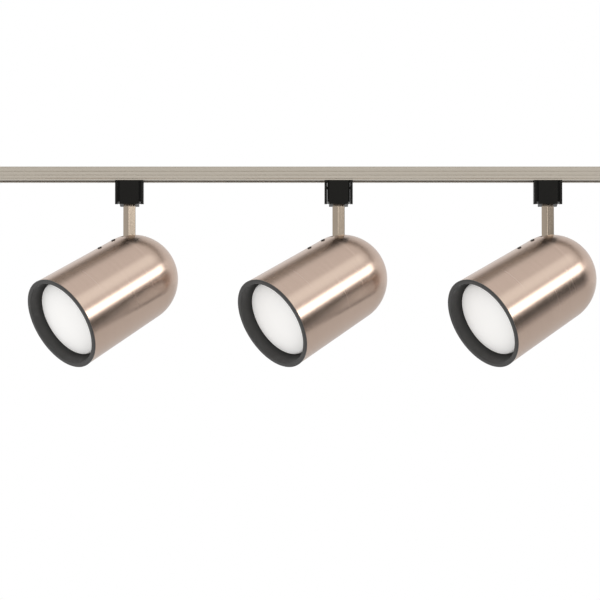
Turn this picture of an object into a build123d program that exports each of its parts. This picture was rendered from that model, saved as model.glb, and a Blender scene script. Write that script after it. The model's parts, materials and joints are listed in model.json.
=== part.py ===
from build123d import *
from math import asin, cos, degrees, radians, sin, sqrt
import os

# A three-head track light that hangs under a ceiling.
#
# Row frame: origin in the middle of the track's top face, which is the face that meets the ceiling.
# +X runs along the track, -Y faces the room, +Z points up. Everything hangs below Z = 0.
#
# Each head hangs from the track by an adaptor. Under the adaptor a square stem swivels about a vertical
# axis (pan), and the lamp housing tilts about a screw at the stem's lower end.

# ---- Driving dimensions, in millimetres and degrees ------------------------------------------------

# Track: an extruded channel, open along its underside
TRACK_LENGTH = 1118.0
TRACK_WIDTH = 35.0
TRACK_HEIGHT = 16.0
TRACK_WALL = 1.5
SLOT_WIDTH = 20.0            # the opening along the underside
TOP_BEVEL = 1.2              # bevel along the two upper edges
FOOT_STEP = 0.5              # the lowest stretch of each side is set back this much
FOOT_HEIGHT = 2.2
REED_DEPTH = 0.35            # two fine grooves run along each side
REED_WIDTH = 1.1
REED_STATIONS = (5.9, 10.4)  # their depth below the ceiling face

# Conductors and the plastic strips that hold them
INSULATOR_THICKNESS = 3.4
LUG_SPACE = 2.4              # below the strips, where the adaptor's lugs turn in
INSULATOR_TOP_GAP = 0.6
CONDUCTOR_GROOVE = 4.6       # height of the groove that the contacts reach into
GROOVE_DEPTH = 1.8
CONDUCTOR_THICKNESS = 0.8
CONDUCTOR_HEIGHT = 3.8

# Ceiling fixing and supply
SCREW_SPACING = 760.0        # between the two ceiling screws
SCREW_HOLE = 5.2
ENTRY_DIAMETER = 22.2        # the knock-out for a half-inch cable connector
FEED_LENGTH = 64.0
FEED_WALL = 2.0
COVER_THICKNESS = 1.6
TONGUE = 22.0                # how far the end pieces reach into the track
CAP_THICKNESS = 3.0
TERMINAL_LENGTH = 20.0
TERMINAL_HEIGHT = 8.0
TERMINAL_PITCH = 7.0
END_SCREW = 3.0
END_SCREW_HEAD = 5.6
END_SCREW_HEAD_HEIGHT = 1.4
END_SCREW_INSET = 10.0       # from the end of the track

# Heads
SIDES = ("left", "middle", "right")
HEAD_SPACING = 248.0
PAN = 35.4                   # rest direction of the lamp axis, from +X towards +Y
TILT = 29.4                  # rest slope of the lamp axis: the mouth points this far below level

# Adaptor
ADAPTOR_WIDTH = 22.6         # the body, along the track
ADAPTOR_DEPTH = 35.0
ADAPTOR_HEIGHT = 28.6        # from the track's underside to the adaptor's underside
ADAPTOR_WALL = 2.0
BASE_THICKNESS = 3.0
RIB_WIDTH = 2.1              # the guide rib on each end of the body
RIB_SETBACK = 3.5            # the rib stops this far short of the front and back
EDGE_ROUND = 0.6
NECK_PLAY = 0.5              # between the neck and the sides of the slot
NECK_TOP_GAP = 2.4           # under the track's web
LUG_PLAY = 0.6               # between the lugs, which rest on the track's lips, and its sides
LUG_HEIGHT = 1.9
BLADE_WIDTH = 6.0
BLADE_THICKNESS = 1.2

# Lock slide and its spring
LOCK_PLATE = 3.0
LOCK_TRAVEL = 3.5
TONGUE_HEIGHT = 3.0
THUMB_LIP = 4.0
THUMB_DROP = 3.1
YOKE_WIDTH = 7.0
YOKE_THICKNESS = 3.0
YOKE_DROP = 6.0              # from the adaptor's top to the yoke's top
SPRING_RADIUS = 2.8          # to the middle of the wire
SPRING_WIRE = 0.7
SPRING_TURNS = 4.0
SPRING_SEAT = 11.6           # height of the bridge's top above the adaptor's underside
BRIDGE_THICKNESS = 2.0
BRIDGE_WIDTH = 8.0
BRIDGE_POST = 2.5

# Swivel and stem
STEM_SIZE = 11.0             # square tube, across flats
STEM_WALL = 1.2
STEM_CORNER = 1.0
SLOT_CORNER = 1.2            # rounding of the housing slot's corners
STEM_REACH = 50.2            # from the adaptor's underside to the tilt screw
COLLAR_RADIUS = 7.0
COLLAR_THICKNESS = 1.2
NIPPLE_RADIUS = 4.75
NIPPLE_BORE = 3.5
NUT_FLATS = 12.0
NUT_HEIGHT = 4.0
NIPPLE_PAST_NUT = 1.3
STOP_RADIUS = 8.6            # the stop peg's distance from the swivel axis
STOP_PEG = 0.8
STOP_PEG_HEIGHT = 2.4
STOP_EAR = 1.2               # thickness of the nut's ear
STOP_EAR_HEIGHT = 2.0
STOP_EAR_REACH = 9.0

# Lamp housing: stations are distances behind the mouth, along the lamp axis
MOUTH_RADIUS = 57.15
DOME_RADIUS = 53.0
DOME_STATION = 115.8         # where the slight taper ends and the half-round dome begins
SHELL_WALL = 1.2
PIVOT_BEHIND = 13.4          # the tilt screw's distance behind the start of the dome
PIVOT_DEPTH = 17.5           # and below the dome's top line

# Baffle ring
LIP_WIDTH = 5.0
LIP_PROUD = 2.2
LIP_OVERHANG = 0.25
BAFFLE_WALL = 1.2
BAFFLE_DEPTH = 26.0
BAFFLE_TAPER = 2.8
COLLAR_DEPTH = 7.0
LIP_ROUND = 0.9

# Hinge bracket and its fasteners
BRACKET_SHEET = 1.5
RIVETS_AHEAD = (38.2, 16.3)  # the rivets' distances in front of the tilt screw
BRACKET_LEAD = 7.9           # the strip starts this far in front of the first rivet
RIVET_SHANK = 1.6
RIVET_HEAD = 2.6
RIVET_HEAD_HEIGHT = 1.0
RIVET_TAIL = 2.3
RIVET_TAIL_HEIGHT = 1.2
PIVOT_SHANK = 2.4
PIVOT_HEAD = 4.2
PIVOT_HEAD_HEIGHT = 2.6
PIVOT_NUT_FLATS = 8.0
PIVOT_NUT_HEIGHT = 3.2
PIVOT_TAIL = 0.8
DRIVER_SLOT = 1.0
EYE_RADIUS = 6.5             # rounded end of each bracket ear, about the tilt screw

# Lampholder and reflector lamp
HOLDER_RADIUS = 19.0
HOLDER_LENGTH = 38.0
HOLDER_BACK = 10.1           # thickness of the holder behind the lamp's tip
STUB_RADIUS = 4.8
STUB_LENGTH = 3.2
SCREW_SHELL_RADIUS = 13.9
SCREW_SHELL_WALL = 0.6
LAMP_FACE = 1.0              # station of the middle of the lamp's face
LAMP_RADIUS = 47.5
FACE_RADIUS = 44.9
FACE_SAG = 8.9
SHOULDER = 7.0               # from the face's edge back to the widest part
SHOULDER_ROUND = 0.75        # share of the shoulder's width gained by its middle
FLARE = ((1.0, 16.0), (0.72, 34.0), (0.42, 56.0))  # share of the radius, and distance behind the widest part
NECK_FLARE = (2.5, 18.0)     # how much wider the glass is, this far in front of the cap
GLASS_WALL = 0.9
LAMP_LENGTH = 134.0
CAP_START = 106.0            # from the lamp's face to the top of its screw cap
CAP_RADIUS = 13.1
CAP_ROOT = 12.4
CAP_TURNS = 6
CAP_PITCH = 3.6
TIP_RADIUS = 4.6
TIP_HEIGHT = 1.6
THREAD_PROFILE = (0.4, 0.6, 0.7, 0.9)  # shares of a turn where the crest ends and the root starts and ends

# Clearances
RUN = 0.08                   # radial, between a turning shaft and its hole
SLIDE = 0.3                  # between faces that slide past each other
SIDE_PLAY = 0.1              # between the stem and what it is clamped between
SLOT_PLAY = 0.6              # around the stem in the housing's slot
TIP_PLAY = 0.4               # between the lamp's tip and the bottom of its holder
SEAT = 0.05                  # between pieces that are drawn tight by a fastener

# ---- Values that follow ----------------------------------------------------------------------------

half_length = TRACK_LENGTH / 2
half_width = TRACK_WIDTH / 2
track_foot = -TRACK_HEIGHT                              # underside of the track
web_under = -TRACK_WALL
lip_top = track_foot + TRACK_WALL
cavity_half = half_width - TRACK_WALL
insulator_face = cavity_half - INSULATOR_THICKNESS      # inner face of each strip
insulator_top = web_under - INSULATOR_TOP_GAP
insulator_foot = lip_top + LUG_SPACE
groove_middle = (insulator_top + insulator_foot) / 2
groove_floor = insulator_face + GROOVE_DEPTH
conductor_face = groove_floor - CONDUCTOR_THICKNESS

adaptor_top = track_foot - SLIDE
adaptor_foot = track_foot - ADAPTOR_HEIGHT
base_top = adaptor_foot + BASE_THICKNESS
cavity_top = adaptor_top - ADAPTOR_WALL
inner_half_x = ADAPTOR_WIDTH / 2 - ADAPTOR_WALL
inner_half_y = ADAPTOR_DEPTH / 2 - ADAPTOR_WALL
rib_face = ADAPTOR_WIDTH / 2 + RIB_WIDTH
plate_in = rib_face + SLIDE
plate_out = plate_in + LOCK_PLATE
yoke_top = adaptor_top - YOKE_DROP
yoke_foot = yoke_top - YOKE_THICKNESS
neck_radius = SLOT_WIDTH / 2 - NECK_PLAY
lug_radius = cavity_half - LUG_PLAY
bridge_top = adaptor_foot + SPRING_SEAT

pivot_z = adaptor_foot - STEM_REACH
collar_top = adaptor_foot - SIDE_PLAY
nut_foot = base_top + SIDE_PLAY
nut_top = nut_foot + NUT_HEIGHT
stem_half = STEM_SIZE / 2
ear_in = stem_half + SIDE_PLAY
ear_out = ear_in + BRACKET_SHEET
pan_limit = 180 - degrees(asin((STOP_PEG + STOP_EAR / 2) / STOP_RADIUS))

slot_half = stem_half + SLOT_PLAY
pivot_station = DOME_STATION + PIVOT_BEHIND
pivot_height = DOME_RADIUS - PIVOT_DEPTH
rivet_stations = tuple(pivot_station - ahead for ahead in RIVETS_AHEAD)
bracket_start = rivet_stations[0] - BRACKET_LEAD
taper_angle = degrees(asin((MOUTH_RADIUS - DOME_RADIUS) / DOME_STATION))
holder_bore = SCREW_SHELL_RADIUS
cap_station = LAMP_FACE + CAP_START
lamp_end = LAMP_FACE + LAMP_LENGTH
holder_floor = lamp_end + TIP_PLAY
holder_end = holder_floor + HOLDER_BACK
holder_start = holder_end - HOLDER_LENGTH


def roof(station, inset=0.0):
    """Radius of the lamp housing at a station, less an inset: a slight cone, then a half-round dome."""
    if station <= DOME_STATION:
        share = station / DOME_STATION
        return MOUTH_RADIUS + (DOME_RADIUS - MOUTH_RADIUS) * share - inset
    return sqrt((DOME_RADIUS - inset) ** 2 - (station - DOME_STATION) ** 2)


def head_place(x):
    """Where a head's own frame sits: origin at the mouth's centre, X up the head, Z back along its axis."""
    pan, tilt = radians(PAN), radians(TILT)
    back = Vector(cos(tilt) * cos(pan), cos(tilt) * sin(pan), sin(tilt))
    up = Vector(-sin(tilt) * cos(pan), -sin(tilt) * sin(pan), cos(tilt))
    mouth = Vector(x, 0, pivot_z) - back * pivot_station - up * pivot_height
    return Plane(origin=mouth, x_dir=up, z_dir=back).location


# ---- Shared helpers --------------------------------------------------------------------------------


def block(x0, x1, y0, y1, z0, z1):
    """A box between two opposite corners."""
    return Pos((x0 + x1) / 2, (y0 + y1) / 2, (z0 + z1) / 2) * Box(x1 - x0, y1 - y0, z1 - z0)


def rod(radius, z0, z1, x=0.0, y=0.0):
    """An upright cylinder between two heights."""
    return Pos(x, y, (z0 + z1) / 2) * Cylinder(radius, z1 - z0)


def nut(flats, z0, z1):
    """A plain hexagonal prism between two heights."""
    return Pos(0, 0, z0) * extrude(RegularPolygon(flats / 2, 6, major_radius=False), z1 - z0)


def spun(*lines):
    """The solid that an outline of (radius, station) sweeps when it turns once about the lamp axis."""
    outline = Curve() + list(lines)
    return revolve(Plane.XZ * make_face(outline.edges()), Axis.Z)


def spun_points(*points):
    """The same for an outline of straight lines only."""
    return spun(Polyline(*points, close=True))


def along_track(outline, x0, x1):
    """A cross-section of (y, z) points carried along the track."""
    face = make_face(Polyline(*outline, close=True).edges())
    return Pos(x0, 0, 0) * extrude(Plane.YZ * face, x1 - x0)


def both_sides(solid):
    """A solid and its mirror image across the track's middle plane, as two separate solids."""
    return [solid, mirror(solid, about=Plane.XZ)]


os.makedirs("parts", exist_ok=True)


def save(name, solids):
    """Write one node. A list is a group of separate solids."""
    shape = Compound(children=[s.solid() for s in solids]) if isinstance(solids, list) else solids.solid()
    export_step(shape, f"parts/{name}.step")


# ---- Track -----------------------------------------------------------------------------------------


def side_outline():
    """The right half of the channel's section, from the middle of the web round to the slot's edge."""
    reeds = []
    for depth in REED_STATIONS:
        reeds += [
            (half_width, -depth + REED_WIDTH / 2),
            (half_width - REED_DEPTH, -depth),
            (half_width, -depth - REED_WIDTH / 2),
        ]
    foot_out = half_width - FOOT_STEP
    foot_z = track_foot + FOOT_HEIGHT
    return [
        (0, 0),
        (half_width - TOP_BEVEL, 0),
        (half_width, -TOP_BEVEL),
        *reeds,
        (half_width, foot_z),
        (foot_out, foot_z - FOOT_STEP),
        (foot_out, track_foot),
        (SLOT_WIDTH / 2, track_foot),
        (SLOT_WIDTH / 2, lip_top),
        (cavity_half, lip_top),
        (cavity_half, web_under),
        (0, web_under),
    ]


def track_channel():
    half = along_track(side_outline(), -half_length, half_length)
    channel = half + mirror(half, about=Plane.XZ)
    for x in (-SCREW_SPACING / 2, SCREW_SPACING / 2):
        channel -= rod(SCREW_HOLE / 2, 2 * web_under, -web_under, x)
    for x in end_screw_places():
        channel -= rod(END_SCREW / 2, 2 * web_under, -web_under, x)
    return channel


def end_screw_places():
    return (-half_length + END_SCREW_INSET, half_length - END_SCREW_INSET)


def insulator_strips():
    """A plastic strip down each inner side, with a groove that the contacts reach into."""
    top, foot = insulator_top, insulator_foot
    groove_top = groove_middle + CONDUCTOR_GROOVE / 2
    groove_foot = groove_middle - CONDUCTOR_GROOVE / 2
    section = [
        (cavity_half, top),
        (cavity_half, foot),
        (insulator_face, foot),
        (insulator_face, groove_foot),
        (groove_floor, groove_foot),
        (groove_floor, groove_top),
        (insulator_face, groove_top),
        (insulator_face, top),
    ]
    return both_sides(along_track(section, -half_length, half_length))


def conductor_strips():
    """Copper strips at the bottom of the grooves. They run on into the feed as far as the terminals."""
    strip = block(
        -half_length - TERMINAL_LENGTH, half_length - CAP_THICKNESS,
        conductor_face, groove_floor,
        groove_middle - CONDUCTOR_HEIGHT / 2, groove_middle + CONDUCTOR_HEIGHT / 2,
    )
    return both_sides(strip)


def end_plug(x0, x1):
    """What fills the track's mouth at an end piece: a block between the strips, with a foot in the slot."""
    half = insulator_face - SLIDE
    upper = block(x0, x1, -half, half, lip_top + SEAT, web_under - SEAT)
    slot_half_width = SLOT_WIDTH / 2 - SLIDE
    return upper + block(x0, x1, -slot_half_width, slot_half_width, track_foot, lip_top + SEAT)


def screw_pocket(x):
    """Room for an end screw and its head, which sinks into the plug from below."""
    head_z = track_foot + END_SCREW_HEAD_HEIGHT
    return rod(END_SCREW / 2, track_foot, web_under, x) + rod(END_SCREW_HEAD / 2, track_foot, head_z, x)


def dead_end_cap():
    x = end_screw_places()[1]
    plate_section = [
        (-half_width, -TOP_BEVEL),
        (-half_width + TOP_BEVEL, 0),
        (half_width - TOP_BEVEL, 0),
        (half_width, -TOP_BEVEL),
        (half_width, track_foot),
        (-half_width, track_foot),
    ]
    plate = along_track(plate_section, half_length, half_length + CAP_THICKNESS)
    plate = fillet(plate.faces().sort_by(Axis.X)[-1].edges(), EDGE_ROUND)
    return plate + end_plug(half_length - TONGUE, half_length) - screw_pocket(x)


def feed_housing():
    """The live-end box: its tongue plugs into the track, and the supply comes in through its top."""
    x0, x1 = -half_length - FEED_LENGTH, -half_length
    inner_half = half_width - FEED_WALL
    box = block(x0, x1, -half_width, half_width, track_foot + COVER_THICKNESS, 0)
    box = fillet(box.edges().filter_by(Axis.Z).group_by(Axis.X)[0], 2 * EDGE_ROUND)
    box -= block(
        x0 + FEED_WALL, x1 - FEED_WALL, -inner_half, inner_half, track_foot, -FEED_WALL
    )
    box -= rod(ENTRY_DIAMETER / 2, -2 * FEED_WALL, FEED_WALL, entry_place())
    box += end_plug(x1, x1 + TONGUE)
    half_window = half_width - TRACK_WALL
    box -= block(
        x1 - FEED_WALL, x1, -half_window, half_window,
        groove_middle - CONDUCTOR_GROOVE / 2, groove_middle + CONDUCTOR_GROOVE / 2,
    )
    return box - screw_pocket(end_screw_places()[0])


def entry_place():
    """The supply hole's place along the track: midway between the box's end wall and the terminals."""
    return -half_length - (FEED_LENGTH + TERMINAL_LENGTH) / 2


def feed_cover():
    """The lid under the feed, with a rim that snaps inside the box."""
    x0, x1 = -half_length - FEED_LENGTH, -half_length
    lid = block(x0, x1, -half_width, half_width, track_foot, track_foot + COVER_THICKNESS)
    lid = fillet(lid.edges().filter_by(Axis.Z).group_by(Axis.X)[0], 2 * EDGE_ROUND)
    inner = FEED_WALL + SEAT
    rim_top = track_foot + COVER_THICKNESS + FEED_WALL / 2
    rim = block(
        x0 + inner, x1 - inner, -half_width + inner, half_width - inner,
        track_foot + COVER_THICKNESS, rim_top,
    )
    rim -= block(
        x0 + 2 * inner, x1 - 2 * inner, -half_width + 2 * inner, half_width - 2 * inner,
        track_foot + COVER_THICKNESS, rim_top,
    )
    return lid + rim


def terminal_places():
    middle = -half_length - FEED_WALL - (TERMINAL_LENGTH - FEED_WALL) / 2
    return [(middle, y) for y in (-TERMINAL_PITCH, 0, TERMINAL_PITCH)]


def terminal_block():
    """The block between the ends of the two conductors, with a screw each for line, neutral and earth."""
    x0, x1 = -half_length - TERMINAL_LENGTH, -half_length - FEED_WALL
    top = -FEED_WALL
    body = block(x0, x1, -conductor_face, conductor_face, top - TERMINAL_HEIGHT, top)
    for x, y in terminal_places():
        body -= rod(END_SCREW / 2, top - TERMINAL_HEIGHT, top - FEED_WALL, x, y)
    return body


def terminal_screws():
    foot = -FEED_WALL - TERMINAL_HEIGHT
    screws = []
    for x, y in terminal_places():
        shank = rod(END_SCREW / 2, foot, -2 * FEED_WALL, x, y)
        head = rod(END_SCREW_HEAD / 2, foot - END_SCREW_HEAD_HEIGHT, foot, x, y)
        cut = block(
            x - END_SCREW_HEAD, x + END_SCREW_HEAD, y - DRIVER_SLOT / 2, y + DRIVER_SLOT / 2,
            foot - END_SCREW_HEAD_HEIGHT, foot - END_SCREW_HEAD_HEIGHT / 2,
        )
        screws.append(shank + head - cut)
    return screws


def end_screws():
    """One screw at each end of the track, up through the end piece and into the web."""
    screws = []
    for x in end_screw_places():
        cut = block(
            x - END_SCREW_HEAD, x + END_SCREW_HEAD, -DRIVER_SLOT / 2, DRIVER_SLOT / 2,
            track_foot, track_foot + END_SCREW_HEAD_HEIGHT / 2,
        )
        shank = rod(END_SCREW / 2, track_foot, -SEAT, x)
        head = rod(END_SCREW_HEAD / 2, track_foot, track_foot + END_SCREW_HEAD_HEIGHT, x)
        screws.append(shank + head - cut)
    return screws


# ---- Adaptor: built at X = 0 and moved along the track ---------------------------------------------


def line_blade():
    """One current blade: a tongue that reaches into the groove and a leg down into the body."""
    z = groove_middle
    tongue = block(
        -BLADE_WIDTH / 2, BLADE_WIDTH / 2, neck_radius / 2, conductor_face - SLIDE,
        z - BLADE_THICKNESS / 2, z + BLADE_THICKNESS / 2,
    )
    leg = block(
        -BLADE_WIDTH / 2, BLADE_WIDTH / 2, neck_radius / 2, neck_radius / 2 + BLADE_THICKNESS,
        yoke_top + SLIDE, z,
    )
    return tongue + leg


def earth_finger():
    """The earth finger: it comes up through the neck and bends over to wipe the track's web."""
    x1 = neck_radius - ADAPTOR_WALL
    x0 = x1 - BLADE_THICKNESS
    top = web_under - SLIDE
    half = BLADE_WIDTH / 4
    leg = block(x0, x1, -half, half, yoke_top + SLIDE, top)
    return leg + block(x0 - BLADE_WIDTH / 2, x1, -half, half, top - BLADE_THICKNESS / 2, top)


def contact_blades():
    return both_sides(line_blade()) + [earth_finger()]


def adaptor_housing():
    """The moulded body: a hollow block, a guide rib on each end, and the neck that enters the track."""
    half_x, half_y = ADAPTOR_WIDTH / 2, ADAPTOR_DEPTH / 2
    body = block(-half_x, half_x, -half_y, half_y, base_top, adaptor_top)
    body = fillet(body.edges().filter_by(Axis.Z), EDGE_ROUND)
    rib_y = half_y - RIB_SETBACK
    body += block(-rib_face, rib_face, -rib_y, rib_y, base_top, adaptor_top)
    body -= block(-inner_half_x, inner_half_x, -inner_half_y, inner_half_y, base_top, cavity_top)

    window_half = YOKE_WIDTH / 2 + SLIDE
    window_foot = yoke_foot - LOCK_TRAVEL - SLIDE
    body -= block(-rib_face, rib_face, -window_half, window_half, window_foot, yoke_top + SLIDE)

    neck_top = web_under - NECK_TOP_GAP
    body += rod(neck_radius, adaptor_top, neck_top)
    lug_foot = lip_top + SLIDE / 2
    lugs = rod(lug_radius, lug_foot, lug_foot + LUG_HEIGHT)
    lugs &= block(-neck_radius, neck_radius, -lug_radius, lug_radius, lug_foot, lug_foot + LUG_HEIGHT)
    body += lugs
    for blade in contact_blades():
        body -= blade
    return body


def adaptor_base():
    """The floor of the adaptor: it carries the swivel, the spring's bridge and the swivel's stop peg."""
    half_x, half_y = ADAPTOR_WIDTH / 2, ADAPTOR_DEPTH / 2
    plate = block(-half_x, half_x, -half_y, half_y, adaptor_foot, base_top)
    plate = fillet(plate.edges().filter_by(Axis.Z), EDGE_ROUND)
    plate = chamfer(plate.faces().sort_by(Axis.Z)[0].edges(), EDGE_ROUND / 2)

    bridge_y = inner_half_y - SLIDE
    bridge_x = BRIDGE_WIDTH / 2
    post_y = bridge_y - BRIDGE_POST
    bridge = block(-bridge_x, bridge_x, -bridge_y, bridge_y, base_top, bridge_top)
    bridge -= block(-bridge_x, bridge_x, -post_y, post_y, base_top, bridge_top - BRIDGE_THICKNESS)

    pan = radians(PAN)
    peg = rod(STOP_PEG, base_top, base_top + STOP_PEG_HEIGHT, STOP_RADIUS * cos(pan), STOP_RADIUS * sin(pan))
    return plate + bridge + peg - rod(NIPPLE_RADIUS + RUN, adaptor_foot, base_top)


def lock_slide():
    """Two end plates joined by a yoke through the body. Each plate has a tongue that fills the slot."""
    half_y = ADAPTOR_DEPTH / 2
    tongue_half = SLOT_WIDTH / 2 - 2 * SLIDE
    foot = adaptor_foot + THUMB_DROP
    plate = block(plate_in, plate_out, -half_y, half_y, foot, adaptor_top)
    plate += block(plate_in, plate_out, -half_y, -half_y + THUMB_LIP, adaptor_foot, foot)
    plate = fillet(plate.edges().filter_by(Axis.Z).group_by(Axis.X)[-1], EDGE_ROUND)
    plate += block(
        plate_in, plate_out, -tongue_half, tongue_half, adaptor_top, track_foot + TONGUE_HEIGHT
    )
    yoke_half = YOKE_WIDTH / 2
    yoke = block(-plate_in, plate_in, -yoke_half, yoke_half, yoke_foot, yoke_top)
    return plate + mirror(plate, about=Plane.YZ) + yoke


def lock_spring():
    """The coil spring between the bridge and the yoke, wound between its two end coils."""
    low = bridge_top + SPRING_WIRE / 2
    height = yoke_foot - bridge_top - SPRING_WIRE
    path = Helix(height / SPRING_TURNS, height, SPRING_RADIUS, center=(0, 0, low))
    wire = Plane(origin=path @ 0, z_dir=path % 0) * Circle(SPRING_WIRE / 2)
    return sweep(wire, path=path)


# ---- Swivel and stem: built with X towards the back of the head -------------------------------------


def stem():
    """A square tube, round at the foot about the tilt screw, with a collar and a threaded nipple on top."""
    top = collar_top - COLLAR_THICKNESS
    profile = Plane.XZ * (
        Pos(0, (top + pivot_z) / 2) * Rectangle(STEM_SIZE, top - pivot_z)
        + Pos(0, pivot_z) * Circle(stem_half)
    )
    tube = Pos(0, stem_half, 0) * extrude(profile, STEM_SIZE)
    tube = fillet(tube.edges().filter_by(Axis.Z), STEM_CORNER)
    inner = stem_half - STEM_WALL
    tube -= block(-inner, inner, -inner, inner, pivot_z - STEM_SIZE, top - STEM_WALL)
    tube -= Pos(0, 0, pivot_z) * Rot(90, 0, 0) * Cylinder(PIVOT_SHANK + RUN, 2 * STEM_SIZE)
    tube += rod(COLLAR_RADIUS, top, collar_top)
    tube += rod(NIPPLE_RADIUS, collar_top, nut_top + NIPPLE_PAST_NUT)
    return tube - rod(NIPPLE_BORE, top - STEM_SIZE, nut_top + NIPPLE_PAST_NUT)


def swivel_nut():
    """The nut that hangs the stem on the base. Its ear meets the stop peg at either end of the swivel."""
    ear = block(
        -STOP_EAR_REACH, -NIPPLE_RADIUS, -STOP_EAR / 2, STOP_EAR / 2, nut_foot, nut_foot + STOP_EAR_HEIGHT
    )
    return nut(NUT_FLATS, nut_foot, nut_top) + ear - rod(NIPPLE_RADIUS, nut_foot, nut_top)


# ---- Lamp housing: built in the head's own frame ----------------------------------------------------


def shell_outline(inset):
    """The shell's outside, or its inside at an inset, as lines from the axis round to the mouth."""
    radius = DOME_RADIUS - inset
    diagonal = radius * cos(radians(45))
    dome = ThreePointArc(
        (0, DOME_STATION + radius), (diagonal, DOME_STATION + diagonal), (radius, DOME_STATION)
    )
    return [dome, Line((radius, DOME_STATION), (MOUTH_RADIUS - inset, 0)), Line((MOUTH_RADIUS - inset, 0), (0, 0))]


def solid_of(inset):
    radius = DOME_RADIUS - inset
    return spun(*shell_outline(inset), Line((0, 0), (0, DOME_STATION + radius)))


def stem_slot():
    """The room the stem sweeps from level to straight down, cut through the top and back of the dome."""
    size = 2 * DOME_RADIUS
    low_t = pivot_height - slot_half
    low_s = pivot_station - slot_half
    tool = block(low_t, low_t + size, -slot_half, slot_half, low_s, low_s + size)
    ends = tool.edges().filter_by(Axis.X).group_by(Axis.Z)[0]
    ends += tool.edges().filter_by(Axis.Z).group_by(Axis.X)[0]
    return fillet(ends, SLOT_CORNER)


def rivet_place(station):
    """A frame on the housing's top line at a station, with Z standing square out of the surface."""
    return Pos(roof(station), 0, station) * Rot(0, 90 - taper_angle, 0)


def shell():
    body = solid_of(0) - solid_of(SHELL_WALL) - stem_slot()
    for station in rivet_stations:
        body -= rivet_place(station) * Cylinder(RIVET_SHANK, 6 * SHELL_WALL)
    return body


def baffle():
    """The black ring in the mouth: a rounded lip over the shell's edge and a slightly tapering wall."""
    out = MOUTH_RADIUS + LIP_OVERHANG
    front_in = MOUTH_RADIUS - LIP_WIDTH
    back_in = front_in - BAFFLE_TAPER
    fit = roof(COLLAR_DEPTH, SHELL_WALL) - SEAT
    ring = spun_points(
        (front_in, -LIP_PROUD),
        (out, -LIP_PROUD),
        (out, -SEAT),
        (fit, -SEAT),
        (fit, COLLAR_DEPTH),
        (fit - BAFFLE_WALL, COLLAR_DEPTH + BAFFLE_WALL),
        (back_in + BAFFLE_WALL, BAFFLE_DEPTH),
        (back_in, BAFFLE_DEPTH),
    )
    front_edges = ring.faces().sort_by(Axis.Z)[0].edges()
    return fillet(front_edges, LIP_ROUND)


def ear_outline():
    """One ear's side view, as (height, station): from the roof strip past the tilt screw to the holder."""
    strip_foot = roof(DOME_STATION, SHELL_WALL + 2 * BRACKET_SHEET)
    slot_front = pivot_station - slot_half
    tail = HOLDER_RADIUS + BRACKET_SHEET
    return [
        (strip_foot, rivet_stations[1] + RIVET_HEAD),
        (strip_foot, slot_front),
        (pivot_height + EYE_RADIUS, pivot_station + EYE_RADIUS / 2),
        (pivot_height - EYE_RADIUS, holder_end + BRACKET_SHEET),
        (tail - EYE_RADIUS, holder_end + BRACKET_SHEET),
        (tail - EYE_RADIUS, holder_end),
        (tail, holder_end),
        (tail, pivot_station),
    ]


def hinge_bracket():
    """Sheet steel: a strip riveted under the roof, two ears for the tilt screw, a plate for the holder."""
    strip_end = pivot_station - slot_half - SLOT_PLAY
    strip = solid_of(SHELL_WALL + SEAT) - solid_of(SHELL_WALL + SEAT + BRACKET_SHEET)
    strip &= block(0, MOUTH_RADIUS, -ear_out, ear_out, bracket_start, strip_end)
    strip = strip.solids().sort_by(Axis.X)[-1]

    side = Plane.XZ * make_face(Polyline(*ear_outline(), close=True).edges())
    ear = Pos(0, -ear_in, 0) * extrude(side, BRACKET_SHEET)
    roof_stub = block(
        roof(DOME_STATION, SHELL_WALL + 3 * BRACKET_SHEET), MOUTH_RADIUS, -ear_out, -ear_in,
        rivet_stations[1] + RIVET_HEAD, strip_end,
    )
    ear += roof_stub & solid_of(SHELL_WALL + SEAT)
    ears = ear + mirror(ear, about=Plane.XZ)
    plate_top = pivot_height - EYE_RADIUS - BRACKET_SHEET
    plate = block(
        -2 * STUB_RADIUS, plate_top, -ear_out, ear_out, holder_end, holder_end + BRACKET_SHEET
    )
    bracket = strip + ears + plate
    bracket -= Pos(pivot_height, 0, pivot_station) * Rot(90, 0, 0) * Cylinder(PIVOT_SHANK, 4 * ear_out)
    bracket -= rod(STUB_RADIUS, holder_end, holder_end + BRACKET_SHEET)
    for station in rivet_stations:
        bracket -= rivet_place(station) * Cylinder(RIVET_SHANK, 8 * SHELL_WALL)
    return bracket


def bracket_rivets():
    """Blind rivets on the top line, each with a hollow domed head and an upset tail under the bracket."""
    grip = SHELL_WALL + SEAT + BRACKET_SHEET
    head = rod(RIVET_HEAD, 0, RIVET_HEAD_HEIGHT)
    head = fillet(head.faces().sort_by(Axis.Z)[-1].edges(), 0.8 * RIVET_HEAD_HEIGHT)
    head -= rod(RIVET_SHANK / 2, RIVET_HEAD_HEIGHT / 2, RIVET_HEAD_HEIGHT)
    tail = rod(RIVET_TAIL, -grip - SEAT - RIVET_TAIL_HEIGHT, -grip - SEAT)
    rivet = rod(RIVET_SHANK, -grip - RIVET_TAIL_HEIGHT, 0) + head + tail
    return [rivet_place(station) * rivet for station in rivet_stations]


def across_pivot(solid):
    """Turn a solid built along Z so that its Z runs across the head, through the tilt screw's place."""
    return Pos(pivot_height, 0, pivot_station) * Rot(-90, 0, 0) * solid


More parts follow.
